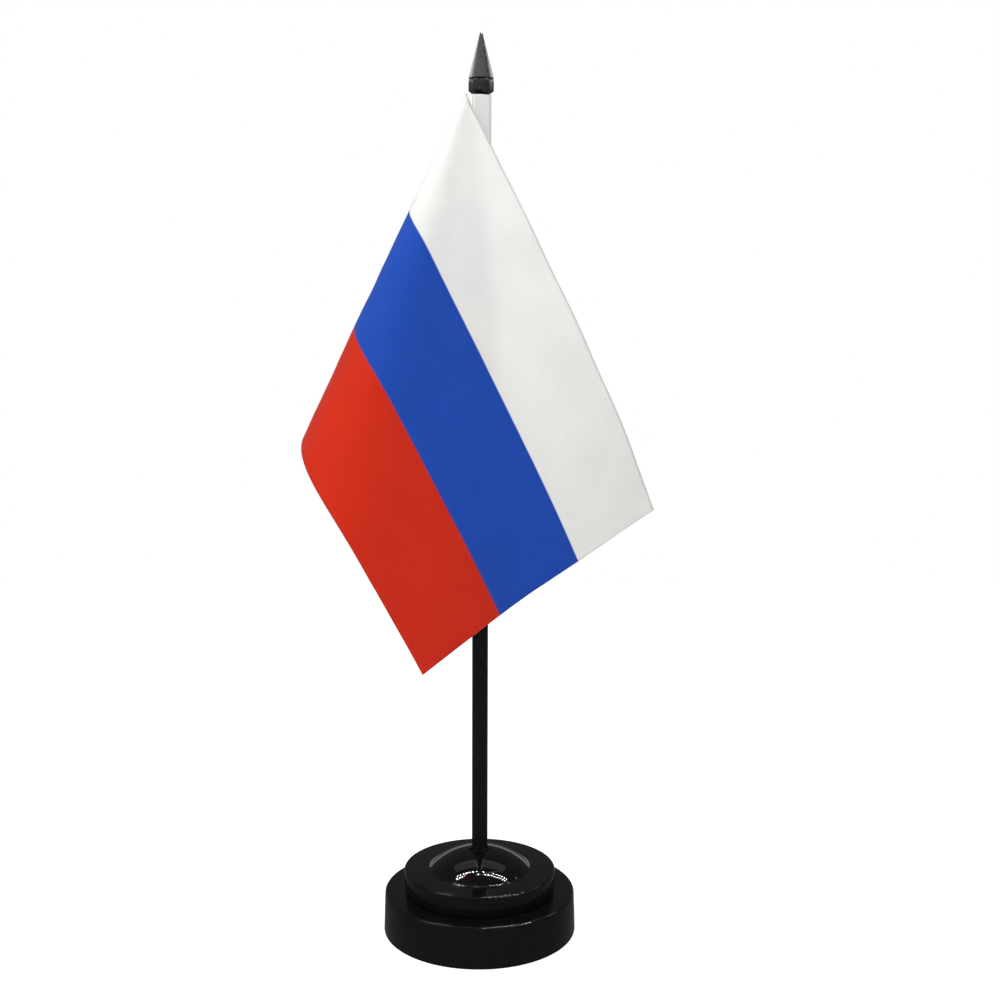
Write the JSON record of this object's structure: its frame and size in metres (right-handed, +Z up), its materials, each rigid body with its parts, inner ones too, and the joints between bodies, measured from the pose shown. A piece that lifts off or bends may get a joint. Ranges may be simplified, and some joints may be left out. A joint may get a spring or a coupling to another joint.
{
  "type": "desk flag stand",
  "caption": "Small three-stripe cloth flag folded over on a plain black staff with a pointed finial, standing in a round weighted two-step base.",
  "frame": {"origin": "centre of the foot pad's underside, on the staff's axis", "axes": "+Z up along the staff; -Y towards the viewer, so the flag's folded side is at -X and its free end at +X"},
  "size_m": [0.1165, 0.065, 0.2952],
  "materials": {
    "foot_foam": "matt closed-cell foam",
    "base_gloss": "polished black moulding",
    "ballast_iron": "bare pressed disc",
    "zinc_steel": "zinc plated",
    "staff_satin": "satin black tube",
    "finial_gloss": "semi-gloss black moulding",
    "flag_fabric": "fine woven polyester, printed in white, blue and red stripes"
  },
  "bodies": {
    "base": {"foot_pad": "foot_foam", "base_puck": "base_gloss", "ballast_disc": "ballast_iron", "screw_washer": "zinc_steel", "lock_screw": "zinc_steel", "base_disc": "base_gloss"},
    "bush": {"socket_bush": "staff_satin"},
    "staff": {"staff_tube": "staff_satin"},
    "finial": {"finial_collar": "finial_gloss", "finial_point": "finial_gloss"},
    "flag": {"flag_cloth": "flag_fabric"}
  },
  "joints": [
    {"name": "staff_turn", "type": "hinge", "parent": "base", "child": "bush", "pos_m": [0, 0, 0.0143], "axis": [0, 0, 1], "continuous": true},
    {"name": "staff_lift", "type": "slide", "parent": "bush", "child": "staff", "axis": [0, 0, 1], "range_m": [0, 0.0125]},
    {"name": "finial_pull", "type": "slide", "parent": "staff", "child": "finial", "axis": [0, 0, 1], "range_m": [0, 0.0125]},
    {"name": "flag_turn", "type": "hinge", "parent": "staff", "child": "flag", "pos_m": [0, 0, 0.225], "axis": [0, 0, 1], "continuous": true}
  ]
}
